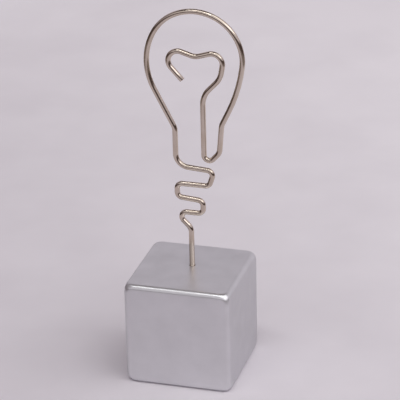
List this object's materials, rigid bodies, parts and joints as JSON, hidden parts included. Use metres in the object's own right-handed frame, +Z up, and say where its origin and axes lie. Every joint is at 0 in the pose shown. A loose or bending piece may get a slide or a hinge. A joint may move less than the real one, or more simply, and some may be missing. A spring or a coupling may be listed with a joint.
{
  "type": "memo holder",
  "caption": "Silver cube with an upright bright wire bent into the outline of a light bulb, whose inner loop grips a card or a note.",
  "frame": {"origin": "middle of the block's underside, on the surface it stands on", "axes": "+Z up along the wire's stem, front of the block and of the bulb outline towards -Y, +X to the right seen from the front"},
  "size_m": [0.0415, 0.04, 0.141],
  "materials": {
    "silver_lacquer": "wooden block under satin silver lacquer",
    "nickel_wire": "bright nickel plate",
    "cured_glue": "cured clear glue"
  },
  "bodies": {
    "root": {"base_block": "silver_lacquer", "wire_clip": "nickel_wire", "glue_fill": "cured_glue"}
  },
  "joints": []
}
